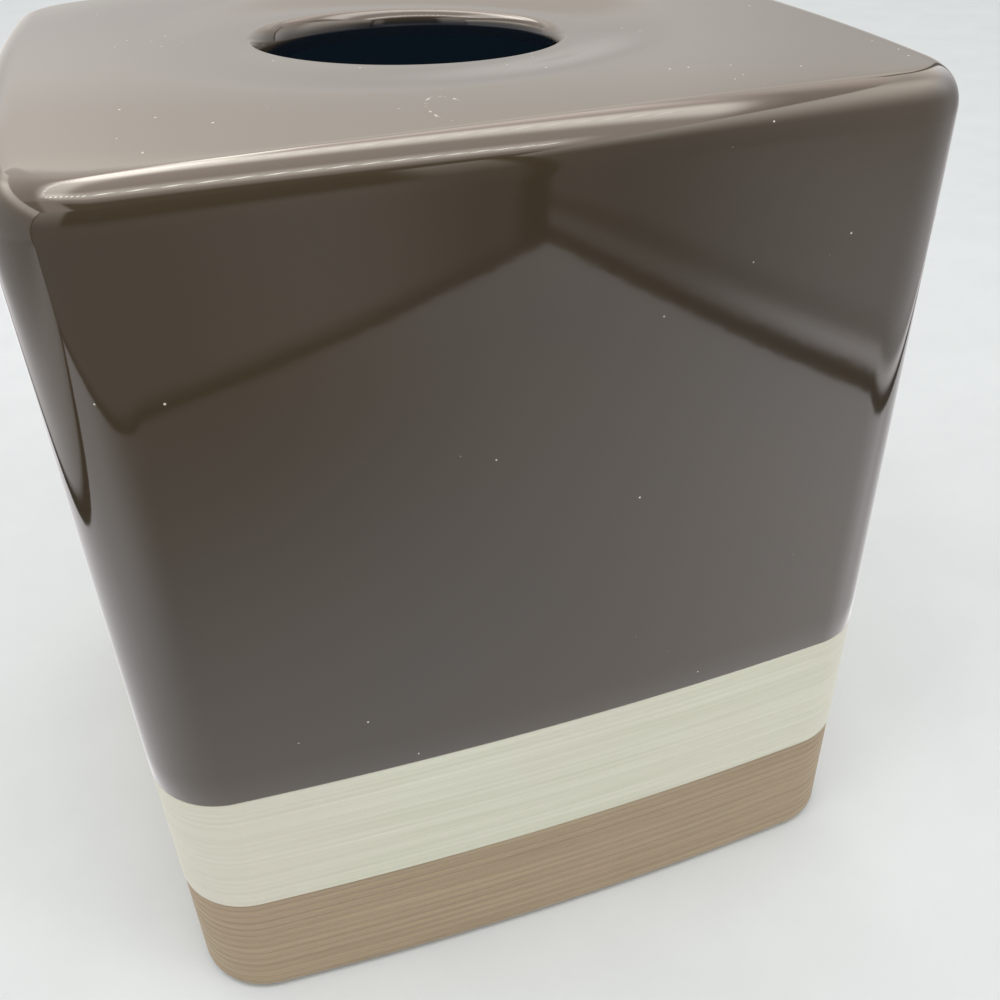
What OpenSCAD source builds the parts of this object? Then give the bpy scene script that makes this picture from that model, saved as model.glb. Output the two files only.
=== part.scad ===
// Boutique tissue box cover: a square, softly bowed ceramic box, open below, with a round
// dispensing hole in its crowned top, a gloss glaze above and two combed matt bands below.
// Millimetres. The origin is on the table under the middle of the cover, +Z is up.

/* [Cover] */
// Width across the middle of the bowed sides
cover_w = 140; // [128:1:170]
// Depth across the middle of the bowed sides
cover_d = 140; // [128:1:170]
// Height of the shoulder's upper edge above the table
cover_h = 156.2; // [140:0.2:180]
// How far each side bows out over half its length
side_bow = 3.2; // [1:0.1:5]
// Outer radius of the upright corners
corner_r = 14; // [11:0.5:20]
// Radius of the shoulder between the sides and the top
shoulder_r = 6; // [3:0.5:8]
// How far the top swells up from the shoulder to the lip of the hole
crown_rise = 0.7; // [0.4:0.1:3]

/* [Casting] */
// Thickness of the fired walls, without their finishes
wall_t = 5.2; // [4.8:0.2:7]
// Thickness of the fired top, without its finishes
top_t = 5.2; // [4.4:0.2:7]
// Radius between the walls and the ceiling inside
ceiling_r = 3; // [1:0.5:5]

/* [Dispensing hole] */
// Diameter of the hole at its narrowest
hole_d = 51; // [40:1:64]
// Radius of the lip that rolls into the hole
lip_r = 4; // [2:0.2:6.4]

/* [Finishes] */
// Thickness of the gloss glaze outside
glaze_t = 0.5; // [0.3:0.1:0.8]
// Thickness of the glaze inside
inner_glaze_t = 0.4; // [0.2:0.1:0.8]
// Height above the table at which the glaze inside ends
inner_glaze_z = 8; // [4:1:20]
// Thickness of the matt bands over their ridges
band_t = 0.9; // [0.7:0.1:1.2]
// Rounding of the tan band's lower edge
foot_edge_r = 0.6; // [0.2:0.1:0.7]
// Height of the tan band's upper edge above the table
tan_top_z = 26.2; // [20:0.2:34]
// Height of the cream band, from the tan band up to the glaze
cream_h = 27.3; // [16:0.1:36]
// Step from one tan rib to the next
tan_pitch = 1.9; // [1.2:0.1:3]
// Depth of the grooves between the tan ribs
tan_groove = 0.3; // [0.1:0.02:0.5]
// Average step from one combed cream line to the next
comb_pitch = 1.35; // [0.9:0.05:2.5]
// Depth of the deepest combed cream lines
comb_groove = 0.16; // [0.06:0.02:0.3]
// How far the tan ribs lie behind the cream band and the glaze
tan_recess = 0.2; // [0:0.05:0.3]

/* [Foot pads] */
// Diameter of a bumper pad
pad_d = 4.6; // [3:0.1:4.8]
// Height at which the pads hold the casting above the table
pad_t = 1.2; // [0.8:0.1:2]

/* [Hidden] */
// Facets of a full circle: round a corner or the hole, along the shallow arcs of the sides, and of
// the lip's roll and the pads. A rounded upper edge turns through its quarter in edge_steps steps.
round_fn = 64;
bow_fn = 720;
edge_fn = 32;
edge_steps = 8;
// One overrun for every cut
over = 1;
// A side's arc runs on by join_run into the corner, and the corner turns back by join_turn degrees
// into the side. The corner stands join_proud proud, so that the two cross instead of touching.
join_run = 0.2;
join_turn = 8;
join_proud = 0.04;

// A side's arc drops by side_bow over half the side's length
half_w = cover_w / 2;
half_d = cover_d / 2;
front_r = (half_w * half_w + side_bow * side_bow) / (2 * side_bow);
flank_r = (half_d * half_d + side_bow * side_bow) / (2 * side_bow);

// Centres of the arcs of the front and of the right flank
front_centre = [0, front_r - half_d];
flank_centre = [half_w - flank_r, 0];

// Centre of the front right corner. Its circle meets both arcs from within, so its centre lies
// front_reach from one arc's centre and flank_reach from the other's.
front_reach = front_r - corner_r + join_proud;
flank_reach = flank_r - corner_r + join_proud;
span = norm(flank_centre - front_centre);
span_dir = (flank_centre - front_centre) / span;
side_dir = [-span_dir.y, span_dir.x];
reach_along = (pow(front_reach, 2) - pow(flank_reach, 2) + pow(span, 2)) / (2 * span);
reach_aside = sqrt(pow(front_reach, 2) - pow(reach_along, 2));
corner = front_centre + reach_along * span_dir + reach_aside * side_dir;

// Directions in which the arcs of the sides hand over to the corner
front_end = atan2(corner.y - front_centre.y, corner.x - front_centre.x);
flank_end = atan2(corner.y - flank_centre.y, corner.x - flank_centre.x);

// Heights of the casting's foot, of the border under the glaze, of the crown, of the ceiling and
// of the glazed edge under the hole
foot_z = pad_t;
border_z = tan_top_z + cream_h;
crown_z = cover_h + crown_rise;
ceiling_z = cover_h - glaze_t - top_t;
hole_low_z = ceiling_z - inner_glaze_t;

hole_r = hole_d / 2;
// The swell of the top runs from the shoulder at the middle of a side to the lip
swell_out_r = min(half_w, half_d) - shoulder_r;
swell_in_r = hole_r + lip_r;
swell_steps = 12;

// How far the edge strips reach in: past the chord between two corner centres
strip_in = corner_r + side_bow;

// Inset of the casting's inner face, and of the pads' centres on its foot
cavity_inset = glaze_t + wall_t;
pad_inset = (band_t + cavity_inset) / 2;

// The tan ribs fill the band above its rounded lower edge, with a whole number of steps
rib_low_z = foot_z + foot_edge_r;
rib_count = round((tan_top_z - rib_low_z) / tan_pitch);
rib_step = (tan_top_z - rib_low_z) / rib_count;
// One rib's outline: how far along its step, and how deep into its groove
rib_shares = [[0, 1], [0.2, 0.3], [0.4, 0], [0.6, 0], [0.8, 0.3]];

// The combed lines fill the cream band the same way
comb_count = round(cream_h / comb_pitch);
comb_step = cream_h / comb_count;
// A line strays from its even place by a share of a step, and is cut over a share of a step to
// each side. Depths lie between the deepest and this share of it.
comb_stray_share = 0.22;
comb_width_share = 0.26;
comb_shallow_share = 0.4;
// Turns from one line to the next, in degrees, so that the strays and depths don't repeat
comb_stray_turn = 137;
comb_depth_turn = 71;

// Children are a flat outline of inset from the outer face across, and height up.
// The three modules below sweep it along the front, along the right flank and round the
// corner between them.
module along_front() {
    half_turn = 90 + front_end + asin(join_run / front_r);
    translate(front_centre)
        rotate_extrude(start = 270 - half_turn, angle = 2 * half_turn, $fn = bow_fn)
            translate([front_r, 0]) mirror([1, 0]) children();
}

module along_flank() {
    half_turn = asin(join_run / flank_r) - flank_end;
    translate(flank_centre)
        rotate_extrude(start = 360 - half_turn, angle = 2 * half_turn, $fn = bow_fn)
            translate([flank_r, 0]) mirror([1, 0]) children();
}

// The part of the outline beyond the corner's centre is left to the sides
module round_corner() {
    turn = flank_end - front_end + 2 * join_turn;
    translate(corner)
        rotate_extrude(start = 360 + front_end - join_turn, angle = turn, $fn = round_fn)
            intersection() {
                translate([corner_r, 0]) mirror([1, 0]) children();
                square([corner_r + over, crown_z + over]);
            }
}

// Sweeps the outline right round the cover
module all_round() {
    for (m = [0, 1]) {
        mirror([0, m, 0]) along_front() children();
        mirror([m, 0, 0]) along_flank() children();
        for (n = [0, 1])
            mirror([m, 0, 0]) mirror([0, n, 0]) round_corner() children();
    }
}

// Outline of a block's edge strip, with its upper outer edge rounded in short straight steps
module strip(inset, low, high, edge_r) {
    polygon(concat(
        [[strip_in, low], [inset, low]],
        edge_r == 0 ? [[inset, high]] : [for (i = [0:edge_steps]) let (a = 90 * i / edge_steps)
            [inset + edge_r * (1 - cos(a)), high - edge_r * (1 - sin(a))]],
        [[strip_in, high]]
    ));
}

// Solid block with bowed sides that lie inset from the outer face
module block(inset, low, high, edge_r) {
    // The middle reaches from centre to centre of the corners, and a little into them
    grip = (corner_r - inset - edge_r) / 2;
    core = [corner.x + grip, grip - corner.y];
    all_round() strip(inset, low, high, edge_r);
    translate([-core.x, -core.y, low]) cube([2 * core.x, 2 * core.y, high - low]);
}

// Height of the swell at a radius
function swell(r) =
    crown_rise * (1 + cos(180 * (r - swell_in_r) / (swell_out_r - swell_in_r))) / 2;

// The top's swell, sunk by depth under the outer face
module crown(depth) {
    rotate_extrude($fn = round_fn) polygon(concat(
        [[0, ceiling_z + top_t / 2], [swell_out_r, ceiling_z + top_t / 2]],
        [for (i = [0:swell_steps])
            let (r = swell_out_r + (swell_in_r - swell_out_r) * i / swell_steps)
                [r, cover_h - depth + swell(r)]],
        [[0, crown_z - depth]]
    ));
}

// What the hole takes away, with its wall and its lip sunk by depth under the glazed face
module hole(depth) {
    rotate_extrude($fn = round_fn) difference() {
        translate([0, hole_low_z]) square([swell_in_r, crown_z + over - hole_low_z]);
        translate([hole_r + depth, hole_low_z - over])
            square([lip_r + over, crown_z - lip_r + over - hole_low_z]);
        translate([swell_in_r, crown_z - lip_r]) circle(lip_r - depth, $fn = edge_fn);
    }
}

// The top and the upper walls as one solid down to a height, sunk by depth under the glazed face
module upper_form(depth, low) {
    difference() {
        union() {
            block(depth, low, cover_h - depth, shoulder_r - depth);
            crown(depth);
        }
        hole(depth);
    }
}

// The fired casting: it is rebated under the bands, which are thicker than the glaze
module shell_body() {
    color("burlywood") difference() {
        union() {
            upper_form(glaze_t, border_z);
            block(band_t, foot_z, border_z + band_t, 0);
        }
        block(cavity_inset, foot_z - over, ceiling_z, ceiling_r + inner_glaze_t);
    }
}

// The gloss coat, from the border over the shoulder and the top, and down the wall of the hole
module brown_glaze() {
    color([0.25, 0.21, 0.18]) difference() {
        upper_form(0, border_z);
        upper_form(glaze_t, border_z - over);
    }
}

// A coat of the bands' thickness between two heights. Children are its outline, which reaches
// further in than the coat.
module band(low, high) {
    difference() {
        all_round() children();
        block(band_t, low - over, high + over, 0);
    }
}

// The matt cream band, combed with fine uneven lines
module cream_band() {
    function line_z(i) = tan_top_z
        + comb_step * (i + 0.5 + comb_stray_share * sin(comb_stray_turn * i));
    function line_depth(i) = comb_groove
        * (1 - (1 - comb_shallow_share) * (1 + sin(comb_depth_turn * i)) / 2);
    half_line = comb_width_share * comb_step;
    color([0.82, 0.81, 0.73]) band(tan_top_z, border_z) polygon(concat(
        [[band_t + over, tan_top_z], [0, tan_top_z]],
        [for (i = [0:comb_count - 1])
            for (p = [[0, -half_line], [line_depth(i), 0], [0, half_line]])
                [p.x, line_z(i) + p.y]],
        [[0, border_z], [band_t + over, border_z]]
    ));
}

// The matt tan band, ribbed, with its lower edge rounded
module tan_band() {
    foot_steps = 4;
    color([0.64, 0.56, 0.45]) band(foot_z, tan_top_z) polygon(concat(
        [[band_t + over, foot_z]],
        [for (i = [0:foot_steps]) let (a = 90 * i / foot_steps)
            [tan_recess + foot_edge_r * (1 - sin(a)), foot_z + foot_edge_r * (1 - cos(a))]],
        [for (i = [0:rib_count - 1])
            for (share = i == 0 ? [for (k = [2:4]) rib_shares[k]] : rib_shares)
                [tan_recess + tan_groove * share[1], rib_low_z + rib_step * (i + share[0])]],
        [[tan_recess, tan_top_z], [band_t + over, tan_top_z]]
    ));
}

// The dark coat on the inside walls and ceiling
module inner_glaze() {
    color([0.12, 0.12, 0.14]) difference() {
        block(cavity_inset, inner_glaze_z, ceiling_z, ceiling_r + inner_glaze_t);
        block(cavity_inset + inner_glaze_t, inner_glaze_z - over, hole_low_z, ceiling_r);
        cylinder(h = ceiling_z + over, r = hole_r + glaze_t, $fn = round_fn);
    }
}

// Four clear bumper pads under the corners of the foot
module foot_pads() {
    reach = (corner_r - pad_inset) / sqrt(2);
    color([0.85, 0.87, 0.88]) for (m = [0, 1], n = [0, 1])
        mirror([m, 0, 0]) mirror([0, n, 0])
            translate([corner.x + reach, corner.y - reach, 0])
                cylinder(h = pad_t, d = pad_d, $fn = edge_fn);
}

shell_body();
brown_glaze();
cream_band();
tan_band();
inner_glaze();
foot_pads();
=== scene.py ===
"""Square glazed tissue box cover: its finished look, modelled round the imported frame.

Lengths are in metres. +Z is up, and the origin is on the table under the middle of the cover.
"""

import logging
import math
from dataclasses import dataclass, field
from enum import Enum
from typing import Callable, Iterator, Sequence, Union

import bmesh
import bpy
from mathutils import Euler, Matrix, Vector, noise


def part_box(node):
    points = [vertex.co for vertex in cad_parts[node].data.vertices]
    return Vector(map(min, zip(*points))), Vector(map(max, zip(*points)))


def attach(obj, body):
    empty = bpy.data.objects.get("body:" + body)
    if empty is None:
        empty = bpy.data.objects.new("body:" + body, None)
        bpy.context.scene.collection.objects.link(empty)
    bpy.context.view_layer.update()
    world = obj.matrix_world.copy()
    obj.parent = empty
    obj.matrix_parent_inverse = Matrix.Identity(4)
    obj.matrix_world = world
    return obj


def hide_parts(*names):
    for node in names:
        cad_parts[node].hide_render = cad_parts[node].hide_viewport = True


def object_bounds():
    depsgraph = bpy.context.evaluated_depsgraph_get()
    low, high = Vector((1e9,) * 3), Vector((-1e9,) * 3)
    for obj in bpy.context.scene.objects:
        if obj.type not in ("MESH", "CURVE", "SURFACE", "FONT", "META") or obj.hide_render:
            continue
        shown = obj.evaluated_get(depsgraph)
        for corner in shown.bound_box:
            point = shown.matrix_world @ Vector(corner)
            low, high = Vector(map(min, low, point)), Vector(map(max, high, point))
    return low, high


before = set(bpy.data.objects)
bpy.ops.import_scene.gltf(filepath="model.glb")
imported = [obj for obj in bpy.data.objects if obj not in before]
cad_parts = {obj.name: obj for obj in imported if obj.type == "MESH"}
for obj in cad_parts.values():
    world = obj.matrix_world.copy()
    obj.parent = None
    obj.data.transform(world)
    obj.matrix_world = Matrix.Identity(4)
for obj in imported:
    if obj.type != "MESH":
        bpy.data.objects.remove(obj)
CAD_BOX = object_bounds()

LOG = logging.getLogger("tissue_box_cover")
MM = 0.001
ROOT = "root"
# Vertices closer than this are one
MERGE = 0.002 * MM

Number = Union[int, float, "Value"]
Colour = tuple[float, float, float, float]
Tint = tuple[float, float, float]
Outline = list[tuple[float, float]]
Loop = list[bmesh.types.BMEdge]


def srgb(red: int, green: int, blue: int) -> Colour:
    """Turns a colour written as on a screen, 0 to 255, into the linear one that shaders take.

    Args:
        red: Red level.
        green: Green level.
        blue: Blue level.

    Returns:
        The linear colour with full alpha.
    """
    def linear(level: int) -> float:
        """One channel, by the screen's transfer curve."""
        share = level / 255
        return share / 12.92 if share <= 0.04045 else ((share + 0.055) / 1.055) ** 2.4
    return (linear(red), linear(green), linear(blue), 1.0)


def ease(share: float) -> float:
    """Smooth step from 0 to 1, level at both ends."""
    share = min(max(share, 0.0), 1.0)
    return share * share * (3 - 2 * share)


class Maths(Enum):
    """What a Math node does with its numbers."""

    ADD = "ADD"
    SUBTRACT = "SUBTRACT"
    MULTIPLY = "MULTIPLY"
    SINE = "SINE"


class Vectors(Enum):
    """What a Vector Math node does with its vectors."""

    SUBTRACT = "SUBTRACT"
    MULTIPLY = "MULTIPLY"
    SCALE = "SCALE"
    DOT = "DOT_PRODUCT"
    DISTANCE = "DISTANCE"
    LENGTH = "LENGTH"


class Value:
    """A shader socket that takes part in Python expressions, each adding its Math node."""

    def __init__(self, shader: "Shader", socket: bpy.types.NodeSocket) -> None:
        """Wraps a socket of one material's node tree."""
        self.shader = shader
        self.socket = socket

    def _math(self, operation: Maths, *values: Number) -> "Value":
        """Adds a Math node on these values and wraps its result."""
        return self.shader.node(
            "ShaderNodeMath", {"operation": operation.value}, dict(enumerate(values))
        )

    def __add__(self, other: Number) -> "Value":
        """Sum."""
        return self._math(Maths.ADD, self, other)

    def __radd__(self, other: Number) -> "Value":
        """Sum with a number on the left."""
        return self._math(Maths.ADD, other, self)

    def __sub__(self, other: Number) -> "Value":
        """Difference."""
        return self._math(Maths.SUBTRACT, self, other)

    def __rsub__(self, other: Number) -> "Value":
        """Difference from a number on the left."""
        return self._math(Maths.SUBTRACT, other, self)

    def __mul__(self, other: Number) -> "Value":
        """Product."""
        return self._math(Maths.MULTIPLY, self, other)

    def __rmul__(self, other: Number) -> "Value":
        """Product with a number on the left."""
        return self._math(Maths.MULTIPLY, other, self)

    def sine(self) -> "Value":
        """Sine of an angle in radians."""
        return self._math(Maths.SINE, self)

    def above(self, level: float, blur: float) -> "Value":
        """Mask that rises from 0 to 1 over blur, centred on a level."""
        return self.shader.node(
            "ShaderNodeMapRange", {"interpolation_type": "SMOOTHSTEP"},
            {"Value": self, "From Min": level - blur / 2, "From Max": level + blur / 2},
        )

    def between(self, low: float, high: float, blur: float) -> "Value":
        """Mask that is 1 between two levels, with both its edges blurred."""
        return self.above(low, blur) - self.above(high, blur)


class Shader:
    """One material's node tree, with a principled surface, built through a single node method."""

    def __init__(self, name: str) -> None:
        """Makes an empty material.

        Args:
            name: The material's name.
        """
        self.material = bpy.data.materials.new(name)
        self.material.use_nodes = True
        self.tree = self.material.node_tree
        self.surface = self.tree.nodes["Principled BSDF"]
        self.place = self.node("ShaderNodeTexCoord", {}, {}, "Object")

    def node(self, kind: str, settings: dict, inputs: dict, output: Union[int, str] = 0) -> Value:
        """Adds one node.

        Args:
            kind: The node's type.
            settings: The node's own settings, set before its sockets.
            inputs: Socket names or numbers, each with a value or a Value.
            output: The output that is returned.

        Returns:
            The wrapped output socket.
        """
        made = self.tree.nodes.new(kind)
        for name, setting in settings.items():
            setattr(made, name, setting)
        for name, value in inputs.items():
            self.feed(made.inputs[name], value)
        return Value(self, made.outputs[output])

    def feed(self, socket: bpy.types.NodeSocket, value: Union[Number, Colour]) -> None:
        """Links a Value into a socket, or sets a constant on it.

        Args:
            socket: The input socket.
            value: The Value or the constant.
        """
        if isinstance(value, Value):
            self.tree.links.new(value.socket, socket)
        else:
            socket.default_value = value

    def set(self, **values: Union[Number, Colour]) -> None:
        """Feeds the surface's sockets, named with underscores for spaces."""
        for name, value in values.items():
            self.feed(self.surface.inputs[name.replace("_", " ")], value)

    def vectors(self, operation: Vectors, inputs: dict, output: str = "Vector") -> Value:
        """Result of a Vector Math node."""
        return self.node("ShaderNodeVectorMath", {"operation": operation.value}, inputs, output)

    def stretched(self, across: float, along: float, up: float) -> Value:
        """The place on the piece with each axis multiplied, for noise that runs in streaks."""
        return self.vectors(Vectors.MULTIPLY, {0: self.place, 1: (across, along, up)})

    def noise(self, place: Value, scale: float, detail: float, rough: float = 0.5) -> Value:
        """Noise from 0 to 1 at a place, with scale as features per metre."""
        return self.node(
            "ShaderNodeTexNoise", {},
            {"Vector": place, "Scale": scale, "Detail": detail, "Roughness": rough}, "Fac",
        )

    def mix(self, share: Number, low: Union[Colour, Value], high: Union[Colour, Value]) -> Value:
        """Colour between low and high, by share."""
        return self.node("ShaderNodeMix", {"data_type": "RGBA"}, {0: share, 6: low, 7: high}, 2)

    def height(self) -> Value:
        """Height above the table."""
        return self.node("ShaderNodeSeparateXYZ", {}, {0: self.place}, 2)

    def offset(self, start: Vector) -> Value:
        """The way from a start to the place, as a vector."""
        return self.vectors(Vectors.SUBTRACT, {0: self.place, 1: start})

    def way(self, start: Vector, along: Vector) -> Value:
        """Distance from a start in a level direction."""
        return self.vectors(Vectors.DOT, {0: self.offset(start), 1: along}, "Value")

    def length(self, way: Value) -> Value:
        """Length of a vector."""
        return self.vectors(Vectors.LENGTH, {0: way}, "Value")

    def distance(self, point: Vector) -> Value:
        """Distance from a point."""
        return self.vectors(Vectors.DISTANCE, {0: self.place, 1: point}, "Value")

    def tinted(self, level: Value, tint: Union[Value, Tint]) -> Value:
        """Colour of a tint at a level."""
        return self.vectors(Vectors.SCALE, {0: tint, "Scale": level})

    def bump(self, relief: Value, depth: float) -> Value:
        """Normal from a relief of 0 to 1 that is depth metres deep."""
        inputs = {"Height": relief, "Distance": depth, "Strength": 1.0}
        return self.node("ShaderNodeBump", {}, inputs, "Normal")


class Finish:
    """A finish of the cover or of the studio, which makes its material once."""

    name: str

    def paint(self, shader: Shader) -> None:
        """Sets the surface of the material."""
        raise NotImplementedError

    def material(self) -> bpy.types.Material:
        """Makes the finish's material.

        Returns:
            The painted material.
        """
        shader = Shader(self.name)
        self.paint(shader)
        return shader.material


@dataclass(frozen=True)
class BrownGlaze(Finish):
    """Dark brown gloss glaze, a little uneven in depth, with fine orange peel and kiln dust, and
    painted shade low in the neck.
    """

    name: str = "brown_gloss_glaze"
    thin: Colour = srgb(65, 54, 39)
    thick: Colour = srgb(60, 52, 43)
    dust: Colour = srgb(214, 208, 196)
    # Painted shade: the dark colour of the neck's lower end, inside the hole
    neck: Colour = srgb(22, 28, 36)
    peel_depth: float = 0.006 * MM
    # The top, where more dust has settled, and the lower end of the neck, painted dark as shade
    top_low: float = 154.0 * MM
    neck_shade_high: float = 152.5 * MM
    neck_shade_out: float = 27.0 * MM
    # The curl of dust: a thin ring that is longer from front to back
    curl_middle: Vector = field(default_factory=lambda: Vector((-9.6, -57.0, 156.6)) * MM)
    curl_radius: float = 2.6 * MM
    curl_line: float = 0.3 * MM
    curl_blur: float = 0.2 * MM
    curl_length_share: float = 0.42
    curl_strength: float = 0.6
    # Specks: their size in cells, how rare they are, and how many more lie on the top
    speck_size: float = 0.045
    speck_rarity: float = 0.62
    more_on_top: float = 0.09
    smoothest: float = 0.045
    wear: float = 0.03

    def curl(self, shader: Shader) -> Value:
        """A broken curl of fired-in dust on the top, in front of the hole.

        Args:
            shader: The glaze's shader.

        Returns:
            Mask of the curl.
        """
        flatten = (1.0, self.curl_length_share, 0.0)
        offset = shader.vectors(Vectors.MULTIPLY, {0: shader.offset(self.curl_middle), 1: flatten})
        inner = self.curl_radius - self.curl_line / 2
        ring = shader.length(offset).between(inner, inner + self.curl_line, self.curl_blur)
        left = shader.way(self.curl_middle, Vector((-1, 0.4, 0)))
        broken = shader.noise(shader.place, scale=1400.0, detail=1.0)
        return ring * left.above(-0.8 * MM, blur=1.2 * MM) * broken.above(0.55, blur=0.1)

    def specks(self, shader: Shader) -> Value:
        """Specks of kiln dust, denser on the top.

        Args:
            shader: The glaze's shader.

        Returns:
            Mask of the specks.
        """
        cells = shader.node(
            "ShaderNodeTexVoronoi", {"feature": "F1"}, {"Vector": shader.place, "Scale": 260.0},
            "Distance",
        )
        sparse = shader.noise(shader.place, scale=61.0, detail=0.0)
        on_top = shader.height().above(self.top_low, blur=2 * MM)
        chosen = (sparse + self.more_on_top * on_top).above(self.speck_rarity, blur=0.02)
        return (1 - cells.above(self.speck_size, blur=0.02)) * chosen

    def paint(self, shader: Shader) -> None:
        """Sets colour, with painted shade low in the neck, gloss and relief.

        Args:
            shader: The glaze's shader.
        """
        drift = shader.noise(shader.place, scale=14.0, detail=3.0)
        colour = shader.mix(drift.above(0.5, blur=0.5), self.thick, self.thin)
        colour = shader.mix(self.specks(shader), colour, self.dust)
        colour = shader.mix(self.curl(shader) * self.curl_strength, colour, self.dust)
        out = shader.length(shader.stretched(1.0, 1.0, 0.0))
        # Painted shade: the neck's lower end is mixed to the dark colour
        in_neck_shade = 1 - out.above(self.neck_shade_out, blur=1 * MM)
        below_neck_shade_high = 1 - shader.height().above(self.neck_shade_high, blur=1.2 * MM)
        worn = shader.noise(shader.place, scale=9.0, detail=2.0)
        shader.set(
            Base_Color=shader.mix(in_neck_shade * below_neck_shade_high, colour, self.neck),
            Roughness=self.smoothest + self.wear * worn,
            IOR=1.6,
        )
        coarse = shader.noise(shader.place, scale=150.0, detail=1.0)
        fine = shader.noise(shader.place, scale=620.0, detail=0.0)
        shader.set(Normal=shader.bump(coarse + 0.3 * fine, self.peel_depth))


@dataclass(frozen=True)
class CombedSlip(Finish):
    """Matt slip, dragged with a comb: its colour and relief run in fine level streaks."""

    name: str = "combed_slip"
    light: Colour = srgb(216, 214, 197)
    deep: Colour = srgb(205, 203, 184)
    warm: Colour = srgb(213, 205, 191)
    roughness: float = 0.62
    relief: float = 0.04 * MM

    def paint(self, shader: Shader) -> None:
        """Sets colour, roughness and relief.

        Args:
            shader: The slip's shader.
        """
        fine = shader.noise(shader.stretched(22.0, 22.0, 2600.0), scale=1.0, detail=2.0, rough=0.6)
        broad = shader.noise(shader.stretched(14.0, 14.0, 420.0), scale=1.0, detail=2.0)
        blush = shader.noise(shader.place, scale=26.0, detail=2.0)
        grain = shader.noise(shader.place, scale=2600.0, detail=2.0, rough=0.6)
        streaks = 0.55 * fine + 0.45 * broad
        colour = shader.mix(streaks.above(0.5, blur=0.34), self.deep, self.light)
        colour = shader.mix(blush.above(0.58, blur=0.25) * 0.5, colour, self.warm)
        shader.set(
            Base_Color=colour,
            Roughness=self.roughness + 0.12 * grain,
            IOR=1.45,
            Sheen_Weight=0.18,
            Sheen_Roughness=0.4,
        )
        shader.set(Normal=shader.bump(0.7 * fine + 0.3 * grain, self.relief))


@dataclass(frozen=True)
class FiredClay(Finish):
    """Bare fired body, buff and finely gritty."""

    name: str = "fired_clay"
    pale: Colour = srgb(196, 172, 142)
    iron: Colour = srgb(150, 112, 82)
    relief: float = 0.05 * MM

    def paint(self, shader: Shader) -> None:
        """Sets colour, roughness and relief.

        Args:
            shader: The clay's shader.
        """
        cloud = shader.noise(shader.place, scale=60.0, detail=4.0)
        grit = shader.noise(shader.place, scale=3200.0, detail=2.0, rough=0.7)
        flecks = shader.noise(shader.place, scale=900.0, detail=0.0).above(0.7, blur=0.04)
        colour = shader.mix(cloud.above(0.5, blur=0.4) * 0.35, self.pale, self.iron)
        shader.set(
            Base_Color=shader.mix(flecks * 0.6, colour, self.iron),
            Roughness=0.82 + 0.1 * grit,
        )
        shader.set(Normal=shader.bump(grit, self.relief))


@dataclass(frozen=True)
class InnerGlaze(Finish):
    """Thin dark blue-black glaze of the inside, satin and pooled unevenly, with a faint painted glow.
    """

    name: str = "inner_glaze"
    dark: Colour = srgb(34, 48, 62)
    worn: Colour = srgb(46, 58, 70)
    # Painted glow: stands for the light that goes round inside the cover
    depth: Colour = srgb(9, 17, 24)
    relief: float = 0.03 * MM

    def paint(self, shader: Shader) -> None:
        """Sets colour, roughness, relief and the painted glow.

        Args:
            shader: The glaze's shader.
        """
        pools = shader.noise(shader.place, scale=34.0, detail=4.0, rough=0.55)
        shader.set(
            Base_Color=shader.mix(pools.above(0.55, blur=0.3), self.dark, self.worn),
            Roughness=0.32 + 0.2 * pools,
            # Painted glow, constant, in place of the light inside the cover
            Emission_Color=self.depth,
            Emission_Strength=1.0,
        )
        ripple = shader.noise(shader.place, scale=240.0, detail=2.0)
        shader.set(Normal=shader.bump(ripple, self.relief))


@dataclass(frozen=True)
class ClearBumper(Finish):
    """Clear soft plastic of the bumper pads, faintly clouded."""

    name: str = "clear_bumper"
    tint: Colour = srgb(226, 230, 231)
    cloud: Colour = srgb(208, 214, 216)
    relief: float = 0.01 * MM

    def paint(self, shader: Shader) -> None:
        """Sets colour, roughness and relief.

        Args:
            shader: The plastic's shader.
        """
        haze = shader.noise(shader.place, scale=800.0, detail=2.0)
        shader.set(
            Base_Color=shader.mix(haze, self.tint, self.cloud),
            Roughness=0.28 + 0.1 * haze,
            IOR=1.45,
            Transmission_Weight=0.6,
        )
        shader.set(Normal=shader.bump(haze, self.relief))


@dataclass(frozen=True)
class Arc:
    """One stretch of the plan: an arc about a centre, turned through in equal steps."""

    centre: Vector
    turn: float
    steps: int


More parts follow.
